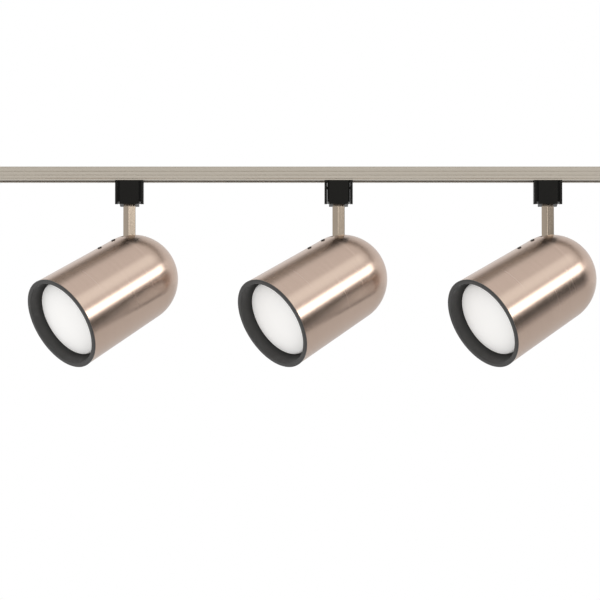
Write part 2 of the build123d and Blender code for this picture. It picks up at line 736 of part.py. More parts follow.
def pivot_screw():
    tail = -ear_out - PIVOT_NUT_HEIGHT - PIVOT_TAIL
    head = rod(PIVOT_HEAD, ear_out, ear_out + PIVOT_HEAD_HEIGHT)
    head = fillet(head.faces().sort_by(Axis.Z)[-1].edges(), PIVOT_HEAD_HEIGHT / 2)
    cut = block(
        -PIVOT_HEAD, PIVOT_HEAD, -DRIVER_SLOT / 2, DRIVER_SLOT / 2,
        ear_out + PIVOT_HEAD_HEIGHT / 2, ear_out + PIVOT_HEAD_HEIGHT,
    )
    return across_pivot(rod(PIVOT_SHANK, tail, ear_out) + head - cut)


def pivot_nut():
    top = -ear_out
    foot = top - PIVOT_NUT_HEIGHT
    return across_pivot(nut(PIVOT_NUT_FLATS, foot, top) - rod(PIVOT_SHANK, foot, top))


# ---- Lampholder and lamp, in the head's own frame ----------------------------------------------------


def lampholder():
    """The ceramic holder, with the threaded stub that fastens it to the bracket's plate."""
    body = rod(HOLDER_RADIUS, holder_start, holder_end)
    body = fillet(body.edges(), 2 * EDGE_ROUND)
    body -= rod(holder_bore, holder_start, holder_floor + SCREW_SHELL_WALL)
    return body + rod(STUB_RADIUS, holder_end, holder_end + STUB_LENGTH)


def screw_shell():
    """The metal cup inside the holder that the lamp screws into."""
    start = holder_start + EDGE_ROUND
    floor = holder_floor + SCREW_SHELL_WALL
    cup = rod(SCREW_SHELL_RADIUS, start, floor)
    return cup - rod(SCREW_SHELL_RADIUS - SCREW_SHELL_WALL, start, holder_floor)


def glass_outline(inset):
    """The lamp's glass: a shallow domed face, a rounded shoulder, and a flare that draws in to the neck."""
    face = LAMP_FACE + inset
    edge = face + FACE_SAG
    widest = edge + SHOULDER
    neck = cap_station
    face_r, wide_r, neck_r = FACE_RADIUS - inset, LAMP_RADIUS - inset, CAP_ROOT - inset
    sphere = (face_r ** 2 + FACE_SAG ** 2) / (2 * FACE_SAG)
    mid_sag = sphere - sqrt(sphere ** 2 - (face_r / 2) ** 2)
    shoulder_mid = (face_r + (wide_r - face_r) * SHOULDER_ROUND, (edge + widest) / 2)
    return [
        ThreePointArc((0, face), (face_r / 2, face + mid_sag), (face_r, edge)),
        ThreePointArc((face_r, edge), shoulder_mid, (wide_r, widest)),
        Bezier(
            (wide_r, widest),
            *[(wide_r * share, widest + behind) for share, behind in FLARE],
            (neck_r + NECK_FLARE[0], neck - NECK_FLARE[1]),
            (neck_r, neck),
        ),
    ], neck_r, face, neck


def lamp_glass():
    def filled(inset):
        lines, neck_r, face, neck = glass_outline(inset)
        return spun(*lines, Line((neck_r, neck), (0, neck)), Line((0, neck), (0, face)))

    return filled(0) - filled(GLASS_WALL)


def lamp_cap():
    """The lamp's screw cap: rings stand for its thread, and a tip carries the centre contact."""
    ring_end = cap_station + CAP_TURNS * CAP_PITCH
    outline = [(0, cap_station), (CAP_RADIUS, cap_station)]
    for turn in range(CAP_TURNS):
        start = cap_station + turn * CAP_PITCH
        for share, radius in zip(THREAD_PROFILE, (CAP_RADIUS, CAP_ROOT, CAP_ROOT, CAP_RADIUS)):
            outline.append((radius, start + CAP_PITCH * share))
    outline += [
        (CAP_RADIUS, ring_end),
        (TIP_RADIUS, lamp_end - TIP_HEIGHT),
        (TIP_RADIUS, lamp_end),
        (0, lamp_end),
    ]
    return spun_points(*outline)


# ---- Write every node ------------------------------------------------------------------------------

for make in (
    track_channel, insulator_strips, conductor_strips, dead_end_cap,
    feed_housing, feed_cover, terminal_block, terminal_screws, end_screws,
):
    save(make.__name__, make())

adaptor_pieces = (adaptor_housing, adaptor_base, contact_blades, lock_slide, lock_spring)
stem_pieces = (stem, swivel_nut)
housing_pieces = (
    shell, baffle, hinge_bracket, bracket_rivets, pivot_screw, pivot_nut,
    lampholder, screw_shell, lamp_glass, lamp_cap,
)

for place_number, side in enumerate(SIDES):
    x = (place_number - 1) * HEAD_SPACING
    frames = (
        (adaptor_pieces, Pos(x, 0, 0)),
        (stem_pieces, Pos(x, 0, 0) * Rot(0, 0, PAN)),
        (housing_pieces, head_place(x)),
    )
    for pieces, place in frames:
        for make in pieces:
            made = make()
            placed = [place * piece for piece in made] if isinstance(made, list) else place * made
            save(f"{make.__name__}_{side}", placed)

print(f"pan stops at {pan_limit:.2f} degrees either way")
print(f"tilt runs from {-TILT:.1f} to {90 - TILT:.1f} degrees, about ({sin(radians(PAN)):.6f}, "
      f"{-cos(radians(PAN)):.6f}, 0) at Z {pivot_z:.3f}")
mouth = head_place(0.0).position
print(f"mouth centre of the middle head: {mouth.X:.2f}, {mouth.Y:.2f}, {mouth.Z:.2f}")
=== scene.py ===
# %% [markdown]
# # A three-head track light
#
# The object is a channel that is screwed under a ceiling, with three spotlights hanging from it. Each
# spotlight has a black adaptor that grips the channel, a square stem, and a round-backed housing of
# brushed nickel with a frosted reflector lamp in its mouth.
#
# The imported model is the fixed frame: its pieces already have their real size and place, in metres.
# The pieces whose shape is right keep their mesh and get a finish. The pieces that the eye rests on,
# such as the spun housing, are worked out again as smooth surfaces with numpy and ride on the same bodies.

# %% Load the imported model
import json
import math

import bmesh
import bpy
import numpy as np
from mathutils import Matrix, Vector


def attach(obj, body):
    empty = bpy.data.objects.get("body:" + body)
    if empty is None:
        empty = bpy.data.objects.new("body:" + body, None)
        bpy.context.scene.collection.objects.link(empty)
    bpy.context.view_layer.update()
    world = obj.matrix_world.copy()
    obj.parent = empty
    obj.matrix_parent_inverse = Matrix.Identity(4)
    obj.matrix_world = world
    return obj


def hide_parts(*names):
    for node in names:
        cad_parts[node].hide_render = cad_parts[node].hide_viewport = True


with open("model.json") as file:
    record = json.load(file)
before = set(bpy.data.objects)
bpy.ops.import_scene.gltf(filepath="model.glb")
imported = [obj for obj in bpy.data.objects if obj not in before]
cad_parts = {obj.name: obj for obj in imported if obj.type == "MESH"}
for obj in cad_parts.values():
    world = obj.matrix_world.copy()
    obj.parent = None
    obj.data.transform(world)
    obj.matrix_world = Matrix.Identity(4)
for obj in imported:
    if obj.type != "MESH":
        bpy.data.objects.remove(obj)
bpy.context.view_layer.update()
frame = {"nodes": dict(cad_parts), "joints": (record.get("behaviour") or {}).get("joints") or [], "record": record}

SIDES = ("left", "middle", "right")

# %% [markdown]
# ## Camera
#
# The light is seen from in front and a little from below, as someone in the room sees it. A very long
# lens far away keeps the three heads the same size and shape, so each looks like the others moved along.
# The camera is aimed with a direction and a distance, and its lens follows from the width of the view.

# %% Camera
VIEW_WIDTH = 0.7107          # how much of the track the frame spans
VIEW_DISTANCE = 8.5
LOOK_UP = np.radians(5.0)
AIM = Vector((-0.04575, 0.0, -0.1572))

looking = Vector((0.0, np.cos(LOOK_UP), np.sin(LOOK_UP)))
camera_data = bpy.data.cameras.new("camera")
camera_data.sensor_width = 36.0
camera_data.lens = camera_data.sensor_width * VIEW_DISTANCE / VIEW_WIDTH
camera_data.clip_start = 0.1
camera_data.clip_end = 200.0
camera = bpy.data.objects.new("camera", camera_data)
camera.location = AIM - looking * VIEW_DISTANCE
camera.rotation_euler = looking.to_track_quat("-Z", "Y").to_euler()
bpy.context.scene.collection.objects.link(camera)
bpy.context.scene.camera = camera
bpy.context.scene.view_settings.view_transform = "Standard"
print("camera lens:", round(camera_data.lens, 1), "mm")

# %% [markdown]
# ## Helpers for materials
#
# Every finish is a Principled shader with small patterns feeding it. `add` puts a node into the tree and
# sets its inputs, so that each material below reads as a short list of what the finish is made of.


# %% Helpers for materials
def new_finish(name, metallic, roughness, **sockets):
    """A Principled material. Constant values are set on the shader's own sockets."""
    finish = bpy.data.materials.new(name)
    finish.use_nodes = True
    shader = finish.node_tree.nodes["Principled BSDF"]
    shader.inputs["Metallic"].default_value = metallic
    shader.inputs["Roughness"].default_value = roughness
    for socket, value in sockets.items():
        shader.inputs[socket.replace("_", " ")].default_value = value
    return finish, finish.node_tree, shader


def add(tree, kind, settings=None, **inputs):
    """Put a node into a tree. An input is a plain value, or an output socket to link to it."""
    node = tree.nodes.new("ShaderNode" + kind)
    for name, value in (settings or {}).items():
        setattr(node, name, value)
    for name, value in inputs.items():
        socket = node.inputs[name.replace("_", " ")]
        if isinstance(value, bpy.types.NodeSocket):
            tree.links.new(value, socket)
        else:
            socket.default_value = value
    return node


def place(tree, scale, uv=False):
    """Object coordinates, or the piece's own UV map, stretched by a scale along each axis."""
    source = add(tree, "TexCoord").outputs["UV" if uv else "Object"]
    return add(tree, "Mapping", Vector=source, Scale=scale).outputs["Vector"]


def grain(tree, vector, detail=3.0, roughness=0.6):
    """A soft noise, from 0 to 1, over a stretched coordinate."""
    return add(tree, "TexNoise", Vector=vector, Scale=1.0, Detail=detail, Roughness=roughness).outputs["Fac"]


def spread(tree, value, low, high):
    """Stretch the middle of a noise, 0.3 to 0.7, over a range of values."""
    settings = {"clamp": True}
    node = add(tree, "MapRange", settings, Value=value)
    for name, number in (("From Min", 0.3), ("From Max", 0.7), ("To Min", low), ("To Max", high)):
        node.inputs[name].default_value = number
    return node.outputs["Result"]


def two_tone(tree, share, first, second):
    """A colour between two, by a share from 0 to 1. Each is a plain colour or an output socket."""
    node = add(tree, "Mix", {"data_type": "RGBA"})
    tree.links.new(share, node.inputs["Factor"])
    for name, colour in (("A", first), ("B", second)):
        if isinstance(colour, bpy.types.NodeSocket):
            tree.links.new(colour, node.inputs[name])
        else:
            node.inputs[name].default_value = (*colour, 1.0)
    return node.outputs["Result"]


def raise_by(tree, shader, height, strength, distance):
    """Turn a height into a bump on the shader."""
    bump = add(tree, "Bump", Height=height, Strength=strength, Distance=distance)
    tree.links.new(bump.outputs["Normal"], shader.inputs["Normal"])


# %% [markdown]
# ## Light
#
# A brushed metal housing has no colour of its own to speak of: it shows what stands around it. So the
# room is a bright white studio with four things in it. A large soft box to the right makes the white
# band along each housing, and a dark card behind it makes the grey band below that. A part of the sky
# up behind the object is dimmer, which shades the upper edge of each housing, and a part in front is
# brighter, which lifts the tone beside the white band.


# %% Sky: white, dimmer up behind the object and brighter in front
def cone(tree, direction, centre, inner, outer):
    """1 within the inner angle of a direction and 0 past the outer angle, easing between them."""
    unit = Vector(centre).normalized()
    dot = add(tree, "VectorMath", {"operation": "DOT_PRODUCT"})
    tree.links.new(direction, dot.inputs[0])
    dot.inputs[1].default_value = unit
    ease = add(tree, "MapRange", {"interpolation_type": "SMOOTHSTEP"}, Value=dot.outputs["Value"])
    ease.inputs["From Min"].default_value = np.cos(np.radians(outer))
    ease.inputs["From Max"].default_value = np.cos(np.radians(inner))
    return ease.outputs["Result"]


SKY = (1.0, 1.0, 1.0)
DIM_SKY = (0.30, 0.28, 0.26)
DIM_CENTRE = (-0.155, 0.44, 0.884)
BRIGHT_SKY = (1.55, 1.62, 1.61)
BRIGHT_CENTRE = (0.60, -0.41, 0.69)
DIM_ANGLES = (3.0, 23.5)      # where each patch is whole, and where it has faded out
BRIGHT_ANGLES = (7.0, 16.0)

world = bpy.data.worlds.new("studio")
bpy.context.scene.world = world
world.use_nodes = True
sky_tree = world.node_tree
direction = add(sky_tree, "TexCoord").outputs["Generated"]
dim = cone(sky_tree, direction, DIM_CENTRE, *DIM_ANGLES)
bright = cone(sky_tree, direction, BRIGHT_CENTRE, *BRIGHT_ANGLES)
dimmed = two_tone(sky_tree, dim, SKY, DIM_SKY)
sky = two_tone(sky_tree, bright, dimmed, BRIGHT_SKY)
sky_tree.links.new(sky, sky_tree.nodes["Background"].inputs["Color"])
print("sky made")

# %% Soft box: an area light that the camera doesn't see
def facing(towards, lean):
    """The directions across, along and away of a sheet that stands off in a direction and leans one way.

    Away is the direction itself, along is the lean with its share of away taken out, and across is square
    to both."""
    away = Vector(towards).normalized()
    along = Vector(lean)
    along = (along - away * along.dot(away)).normalized()
    return along.cross(away), along, away


def soft_light(name, towards, lean, distance, width, height, radiance):
    """A rectangle of even light at a direction and distance, facing the middle of the object."""
    data = bpy.data.lights.new(name, "AREA")
    data.shape = "RECTANGLE"
    data.size = width
    data.size_y = height
    data.energy = radiance * width * height * np.pi
    light = bpy.data.objects.new(name, data)
    across, along, away = facing(towards, lean)
    light.location = AIM + away * distance
    light.rotation_euler = Matrix((across, along, away)).transposed().to_euler()
    light.visible_camera = False
    bpy.context.scene.collection.objects.link(light)
    return light


STUDIO_DISTANCE = 6.0
BOX_TOWARDS = (0.8790, -0.4013, 0.2593)
BOX_LEAN = (-0.116, -0.11, 0.28)
BOX_WIDTH = 5.0
BOX_HEIGHT = 1.66
BOX_RADIANCE = 3.0

box_size = (BOX_WIDTH, BOX_HEIGHT)
soft_light("soft_box", BOX_TOWARDS, BOX_LEAN, STUDIO_DISTANCE, *box_size, BOX_RADIANCE)
print("soft box made")

# %% [markdown]
# ## Floor and dark card
#
# The floor is a wide pale disc at the height of a room's floor. It is a polar grid: one parameter is
# the distance from the middle and the other the angle. The dark card is a slightly bowed sheet below and
# a little behind the soft box. It is out of the camera's sight, like a flag in a studio, and only the
# metal sees it.


# %% Surfaces from grids of points
def grid_faces(rows, columns, around):
    """The quads between neighbouring points of a grid, row by row, wrapping round when asked."""
    spans = columns if around else columns - 1
    row, column = np.meshgrid(np.arange(rows - 1), np.arange(spans), indexing="ij")
    after = (column + 1) % columns
    corners = (row * columns + column, row * columns + after,
               (row + 1) * columns + after, (row + 1) * columns + column)
    return np.stack(corners, axis=-1)


def make_piece(name, points, around=False, left_out=None, poles=(), marks=None):
    """A mesh from a grid of points (rows, columns, 3). A pole closes the first or last row to a point.

    The UV map holds the share of the way round, or across, and the share of the way along."""
    rows, columns = points.shape[:2]
    quads = grid_faces(rows, columns, around)
    keep = np.ones(quads.shape[:2], bool) if left_out is None else ~left_out
    faces = quads[keep].tolist()
    spots = points.reshape(-1, 3)
    ring = np.arange(columns)
    row_of = np.repeat(np.arange(rows), columns)
    if "last" in poles:
        tip = len(spots)
        row_of = np.append(row_of, rows - 1)
        spots = np.vstack([spots, points[-1].mean(axis=0)])
        edge = (rows - 1) * columns + ring
        faces += np.stack([edge, np.roll(edge, -1), np.full(columns, tip)], axis=1).tolist()
    if "first" in poles:
        tip = len(spots)
        row_of = np.append(row_of, 0)
        spots = np.vstack([spots, points[0].mean(axis=0)])
        faces += np.stack([np.roll(ring, -1), ring, np.full(columns, tip)], axis=1).tolist()
    mesh = bpy.data.meshes.new(name)
    mesh.from_pydata(spots.tolist(), [], faces)
    mesh.shade_smooth()
    along = np.linspace(0.0, 1.0, rows) if marks is None else marks
    add_uv(mesh, row_of, columns, along)
    piece = bpy.data.objects.new(name, mesh)
    bpy.context.scene.collection.objects.link(piece)
    return piece


def add_uv(mesh, row_of, columns, along):
    """U runs once round or across and V along the rows. A face that closes the circle gets U up to 1.

    A pole belongs to the row that it closes, and comes after all the points of the grid."""
    corner_of = np.zeros(len(mesh.loops), np.int32)
    mesh.loops.foreach_get("vertex_index", corner_of)
    starts = np.zeros(len(mesh.polygons), np.int32)
    mesh.polygons.foreach_get("loop_start", starts)
    totals = np.zeros(len(mesh.polygons), np.int32)
    mesh.polygons.foreach_get("loop_total", totals)
    inside = corner_of < (row_of.max() + 1) * columns
    u = np.where(inside, corner_of % columns, 0) / columns
    v = along[row_of[corner_of]]
    face_of = np.repeat(np.arange(len(totals)), totals)
    widest = np.maximum.reduceat(u, starts)
    u = np.where((widest[face_of] > 0.75) & (u < 0.25) & inside, u + 1.0, u)
    layer = mesh.uv_layers.new(name="around_and_along")
    layer.data.foreach_set("uv", np.stack([u, v], axis=1).astype(np.float32).ravel())


def finish_piece(piece, finish, slot, body, *stands_for):
    """Give a piece its material and its body, and hide the CAD nodes that it stands for."""
    piece.data.materials.append(finish)
    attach(piece, body)
    if stands_for:
        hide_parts(*stands_for)
    return piece


# %% Floor
FLOOR_DROP = 2.4
FLOOR_REACH = 70.0

floor_distance = np.linspace(0.01, 1.0, 24)[:, None] ** 2 * FLOOR_REACH
floor_angle = np.linspace(0.0, 2 * np.pi, 64, endpoint=False)[None, :]
floor_points = np.stack(np.broadcast_arrays(
    floor_distance * np.cos(floor_angle),
    floor_distance * np.sin(floor_angle),
    np.full((1, 1), -FLOOR_DROP),
), axis=-1)
floor = make_piece("floor", floor_points[::-1], around=True, poles=("last",))

floor_finish, tree, shader = new_finish("floor_finish", 0.0, 0.85)
floor_share = spread(tree, grain(tree, place(tree, (0.6, 0.6, 0.6))), 0.0, 1.0)
floor_tone = two_tone(tree, floor_share, (0.79, 0.79, 0.79), (0.815, 0.815, 0.815))
tree.links.new(floor_tone, shader.inputs["Base Color"])
floor.data.materials.append(floor_finish)
print("floor made:", len(floor.data.polygons), "faces")

# %% Dark card
CARD_DISTANCE = 6.4
CARD_TOWARDS = (0.9679, -0.1564, -0.1307)
CARD_LEAN = (0.02, -0.42, 0.395)
CARD_WIDTH = 5.8
CARD_HEIGHT = 3.3
CARD_BOW = 0.1

card_across, card_along, card_away = (np.array(unit) for unit in facing(CARD_TOWARDS, CARD_LEAN))
across = np.linspace(0.5, -0.5, 17)[None, :, None]
upward = np.linspace(-0.5, 0.5, 13)[:, None, None]
card_points = (
    np.array(AIM)
    + card_away * (CARD_DISTANCE - CARD_BOW * across ** 2)
    + card_across * across * CARD_WIDTH
    + card_along * upward * CARD_HEIGHT
)
card = make_piece("dark_card", card_points)
card.visible_camera = False

card_finish, tree, shader = new_finish("card_finish", 0.0, 1.0)
card_height = add(tree, "SeparateXYZ", Vector=add(tree, "TexCoord").outputs["UV"]).outputs["Y"]
card_shade = add(tree, "MapRange", {"interpolation_type": "SMOOTHSTEP"}, Value=card_height)
card_shade.inputs["From Min"].default_value = 0.0
card_shade.inputs["From Max"].default_value = 0.65
card_tone = two_tone(tree, card_shade.outputs["Result"], (0.50, 0.49, 0.49), (0.04, 0.04, 0.039))
tree.links.new(card_tone, shader.inputs["Base Color"])
card.data.materials.append(card_finish)
print("dark card made")

# %% [markdown]
# ## Brushed nickel of the housings
#
# A housing is spun and then brushed on the lathe, so its fine lines run round the axis. Lines that fine
# are below what the eye separates: what shows is that a highlight is drawn out along the housing. That
# is what the shader's anisotropy does, along the direction in which the UV map's V runs. A few broader
# rings vary the roughness and the tone a little, and a bump cuts the lines for a close look.

# %% Brushed nickel of the housings
HOUSING_TONE = (0.545, 0.418, 0.345)
HOUSING_TONE_DEEP = (0.515, 0.394, 0.322)

housing_nickel, tree, shader = new_finish("housing_nickel", 1.0, 0.25, Anisotropic=0.8)
shader.inputs["Anisotropic Rotation"].default_value = 0.25
tangent = add(tree, "Tangent", {"direction_type": "UV_MAP", "uv_map": "around_and_along"})
tree.links.new(tangent.outputs["Tangent"], shader.inputs["Tangent"])
rings = grain(tree, place(tree, (1.5, 60.0, 1.0), uv=True))
lines = grain(tree, place(tree, (2.0, 900.0, 1.0), uv=True), detail=4.0)
tone = two_tone(tree, spread(tree, rings, 0.0, 1.0), HOUSING_TONE_DEEP, HOUSING_TONE)
tree.links.new(tone, shader.inputs["Base Color"])
tree.links.new(spread(tree, rings, 0.235, 0.275), shader.inputs["Roughness"])
raise_by(tree, shader, lines, 0.05, 0.00005)

# The inside of the housing is coloured nearly black: painted shade for the dark space inside the housing, seen
# through the slot. The noise over it is a random mottle.
housing_inside_shade, tree, shader = new_finish("housing_inside_shade", 0.0, 0.8)
scale = spread(tree, grain(tree, place(tree, (150, 150, 150)), detail=5.0), 0.0, 1.0)
inside_shade_tone = two_tone(tree, scale, (0.018, 0.017, 0.016), (0.04, 0.036, 0.032))
tree.links.new(inside_shade_tone, shader.inputs["Base Color"])
raise_by(tree, shader, scale, 0.2, 0.0001)
print("housing nickel made")

# %% [markdown]
# ## Other finishes
#
# The track and the stem are drawn through a die, so their lines run lengthwise. The black plastic has
# the fine matt texture of a moulding tool. The copper, brass and steel pieces are plain, with a little
# tarnish. The ceramic is glazed, and the lamp is frosted on the inside of its face and silvered behind.
# The lamp is off, and a faint emission on it is a painted glow.


# %% Drawn nickel, for the track and the stems
def drawn_nickel(name, light, deep, stretch, roughness):
    """Satin nickel with fine lines along one axis: the noise is stretched along it and dense across."""
    finish, tree, shader = new_finish(name, 1.0, roughness)
    fine = grain(tree, place(tree, stretch), detail=4.0)
    broad = grain(tree, place(tree, tuple(value / 6 for value in stretch)))
    tree.links.new(two_tone(tree, spread(tree, broad, 0.0, 1.0), deep, light), shader.inputs["Base Color"])
    tree.links.new(spread(tree, fine, roughness - 0.05, roughness + 0.07), shader.inputs["Roughness"])
    raise_by(tree, shader, fine, 0.15, 0.00005)
    return finish


track_nickel = drawn_nickel("track_nickel", (0.52, 0.472, 0.405), (0.475, 0.43, 0.365), (8, 3000, 3000), 0.36)
stem_nickel = drawn_nickel("stem_nickel", (0.345, 0.285, 0.225), (0.31, 0.255, 0.20), (3000, 3000, 30), 0.13)


# %% Moulded and extruded plastics
def moulded(name, light, deep, roughness, grit, **sockets):
    """Plastic with the tool's fine matt texture: grit is the number of grains in a metre."""
    finish, tree, shader = new_finish(name, 0.0, roughness, **sockets)
    spots = grain(tree, place(tree, (grit, grit, grit)), detail=2.0)
    patches = grain(tree, place(tree, (60, 60, 60)))
    tone = two_tone(tree, spread(tree, patches, 0.0, 1.0), deep, light)
    tree.links.new(tone, shader.inputs["Base Color"])
    tree.links.new(spread(tree, patches, roughness - 0.05, roughness + 0.05), shader.inputs["Roughness"])
    raise_by(tree, shader, spots, 0.25, 0.0001)
    return finish


adaptor_plastic = moulded("adaptor_plastic", (0.007, 0.0065, 0.005), (0.005, 0.0045, 0.0035), 0.42, 2500,
                          Specular_IOR_Level=0.15)
strip_plastic = moulded("strip_plastic", (0.24, 0.25, 0.26), (0.20, 0.21, 0.22), 0.6, 1500)
end_plastic = moulded("end_plastic", (0.50, 0.46, 0.40), (0.46, 0.42, 0.36), 0.45, 2500)
terminal_plastic = moulded("terminal_plastic", (0.80, 0.78, 0.72), (0.74, 0.71, 0.65), 0.5, 2500)
baffle_black = moulded("baffle_black", (0.040, 0.038, 0.036), (0.032, 0.031, 0.030), 0.38, 2000)


# %% Plain metals
def tarnished(name, light, deep, roughness):
    """Bare or plated metal with soft uneven tarnish."""
    finish, tree, shader = new_finish(name, 1.0, roughness)
    stain = grain(tree, place(tree, (220, 220, 220)), detail=5.0)
    tree.links.new(two_tone(tree, spread(tree, stain, 0.0, 1.0), deep, light), shader.inputs["Base Color"])
    tree.links.new(spread(tree, stain, roughness + 0.1, roughness - 0.04), shader.inputs["Roughness"])
    raise_by(tree, shader, grain(tree, place(tree, (2500, 2500, 2500))), 0.08, 0.00005)
    return finish


copper = tarnished("copper", (0.93, 0.56, 0.42), (0.72, 0.38, 0.26), 0.3)
brass = tarnished("brass", (0.84, 0.66, 0.36), (0.66, 0.50, 0.25), 0.3)
plated_steel = tarnished("plated_steel", (0.62, 0.61, 0.60), (0.48, 0.47, 0.46), 0.33)
cap_metal = tarnished("cap_metal", (0.74, 0.72, 0.68), (0.60, 0.58, 0.54), 0.28)

# %% Rivet metal: painted shade in the ring, plain metal on the button
RIVET_LIGHT = (0.42, 0.36, 0.31)
# The near black of the ring is painted shade for the sunk ring round the button.
RIVET_RING_SHADE = (0.035, 0.03, 0.027)

rivet_metal, tree, shader = new_finish("rivet_metal", 1.0, 0.4)
# A mask marks the ring, and the finish paints shade there.
ring_shade = add(tree, "Attribute", {"attribute_name": "ring_shade"}).outputs["Fac"]
tree.links.new(two_tone(tree, ring_shade, RIVET_LIGHT, RIVET_RING_SHADE), shader.inputs["Base Color"])
tree.links.new(spread(tree, grain(tree, place(tree, (900, 900, 900))), 0.33, 0.5), shader.inputs["Roughness"])
raise_by(tree, shader, grain(tree, place(tree, (3000, 3000, 3000))), 0.1, 0.00005)

# %% Glazed ceramic
porcelain, tree, shader = new_finish("porcelain", 0.0, 0.4, Coat_Weight=0.6, Coat_Roughness=0.1)
specks = grain(tree, place(tree, (400, 400, 400)), detail=6.0)
tree.links.new(two_tone(tree, spread(tree, specks, 0.0, 1.0), (0.80, 0.78, 0.72), (0.88, 0.87, 0.83)),
               shader.inputs["Base Color"])
raise_by(tree, shader, specks, 0.05, 0.0001)

# %% Frosted glass with a faint painted glow, silvered behind the widest part
FACE_WHITE = (0.93, 0.92, 0.905)
FACE_SHADE = (0.905, 0.895, 0.88)
SILVERED = (0.62, 0.62, 0.60)
SILVER_START = 0.0175        # stations, in metres behind the mouth
SILVER_WHOLE = 0.022

# The emission is a painted glow: the lamp is off, and a faint self-light lifts its frosted face to near white.
frosted_glass, tree, shader = new_finish("frosted_glass", 0.0, 0.5, Emission_Strength=0.16)
shader.inputs["Emission Color"].default_value = (1.0, 0.985, 0.96, 1.0)
frost = spread(tree, grain(tree, place(tree, (900, 900, 900)), detail=5.0), 0.0, 1.0)
face_tone = two_tone(tree, frost, FACE_SHADE, FACE_WHITE)
along = add(tree, "SeparateXYZ", Vector=add(tree, "TexCoord").outputs["UV"]).outputs["Y"]
behind = add(tree, "MapRange", {"interpolation_type": "SMOOTHSTEP"}, Value=along)
behind.inputs["From Min"].default_value = SILVER_START
behind.inputs["From Max"].default_value = SILVER_WHOLE
tree.links.new(two_tone(tree, behind.outputs["Result"], face_tone, SILVERED), shader.inputs["Base Color"])
raise_by(tree, shader, frost, 0.04, 0.0001)

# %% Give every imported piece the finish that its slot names
finishes = {
    "track_nickel": track_nickel, "strip_plastic": strip_plastic, "copper": copper,
    "end_plastic": end_plastic, "terminal_plastic": terminal_plastic, "brass": brass,
    "plated_steel": plated_steel, "adaptor_plastic": adaptor_plastic, "stem_nickel": stem_nickel,
    "shell_nickel": housing_nickel, "baffle_black": baffle_black, "rivet_metal": rivet_metal,
    "porcelain": porcelain, "frosted_glass": frosted_glass, "cap_metal": cap_metal,
}
for subpart in frame["record"]["subparts"]:
    node = frame["nodes"][subpart["node"]]
    node.data.materials.clear()
    node.data.materials.append(finishes[subpart["material_slot"]])

# %% [markdown]
# ## Where each head is
#
# A head has a frame of its own: its origin is the middle of its mouth, `up` points up the head, `side`
# runs across it and `back` runs along the lamp's axis, away from the mouth. The tilt joint gives all of
# it. Its axis is `side`, its place is the tilt screw, and the head lies level at the joint's lower limit,
# so that limit is the slope at rest. The tilt screw's place in the head then gives the mouth.

# %% Head frames from the tilt joints
PIVOT_STATION = 0.1292       # the tilt screw's distance behind the mouth
PIVOT_HEIGHT = 0.0355        # and above the lamp's axis


def head_frame(side_name):
    """The mouth's middle and the three unit directions up, side and back, as rows."""
    joint = next(j for j in frame["joints"] if j["name"] == f"tilt_{side_name}")
    side = np.array(joint["axis"], float)
    side /= np.linalg.norm(side)
    level = np.cross([0.0, 0.0, 1.0], side)
    slope = np.radians(-joint["range_deg"][0])
    back = np.cos(slope) * level + np.array([0.0, 0.0, np.sin(slope)])
    up = np.cross(side, back)
    mouth = np.array(joint["pos_m"], float) - PIVOT_STATION * back - PIVOT_HEIGHT * up
    return mouth, np.stack([up, side, back])


def in_head(side_name, up, side, back):
    """Points from their distances up, across and back in one head's frame."""
    mouth, directions = head_frame(side_name)
    return mouth + np.stack(np.broadcast_arrays(up, side, back), axis=-1) @ directions


def spun_about_axis(side_name, radius, station, columns):
    """A profile carried round the lamp's axis: up = r cos(angle), side = r sin(angle), back = station."""
    angle = np.linspace(0.0, 2 * np.pi, columns, endpoint=False)[None, :]
    around = radius[:, None]
    return in_head(side_name, around * np.cos(angle), around * np.sin(angle), station[:, None])


mouth_middle, directions_middle = head_frame("middle")
print("middle mouth at", np.round(mouth_middle, 4))

# %% [markdown]
# ## Housing
#
# The housing is spun from a disc of sheet: a slight cone from the mouth, then a half-round dome. A slot
# is cut through the top of the dome, so that the stem can pass through it as the head tilts. The surface
# is a grid whose rows are circles round the axis. The slot has straight sides, so the columns beside it
# aren't at even angles: the angle of each edge is the arcsine of the slot's half width over the row's
# radius, and the other columns share what is left. The quads between the two edges are left out along
# the slot. Solidify then gives the sheet its thickness, and a small bevel breaks its cut edges.

# %% Housing sizes
MOUTH_RADIUS = 0.05715
DOME_RADIUS = 0.053
DOME_STATION = 0.1158        # where the cone ends and the dome begins
SHEET = 0.0012
SLOT_HALF = 0.0061
SLOT_FRONT = PIVOT_STATION - SLOT_HALF
SLOT_BACK_RADIUS = PIVOT_HEIGHT - SLOT_HALF


def housing_profile():
    """Stations and radii of the rows: even steps up the cone, then even angles over the dome."""
    cone_station = np.linspace(0.0, DOME_STATION, 31)
    cone_radius = MOUTH_RADIUS + (DOME_RADIUS - MOUTH_RADIUS) * cone_station / DOME_STATION
    front = np.arcsin((SLOT_FRONT - DOME_STATION) / DOME_RADIUS)
    end = np.arccos(SLOT_BACK_RADIUS / DOME_RADIUS)
    dome_angle = np.concatenate([
        np.linspace(0.0, front, 6)[1:],
        np.linspace(front, end, 25)[1:],
        np.linspace(end, np.pi / 2, 17)[1:-1],
    ])
    station = np.concatenate([cone_station, DOME_STATION + DOME_RADIUS * np.sin(dome_angle)])
    radius = np.concatenate([cone_radius, DOME_RADIUS * np.cos(dome_angle)])
    return radius, station


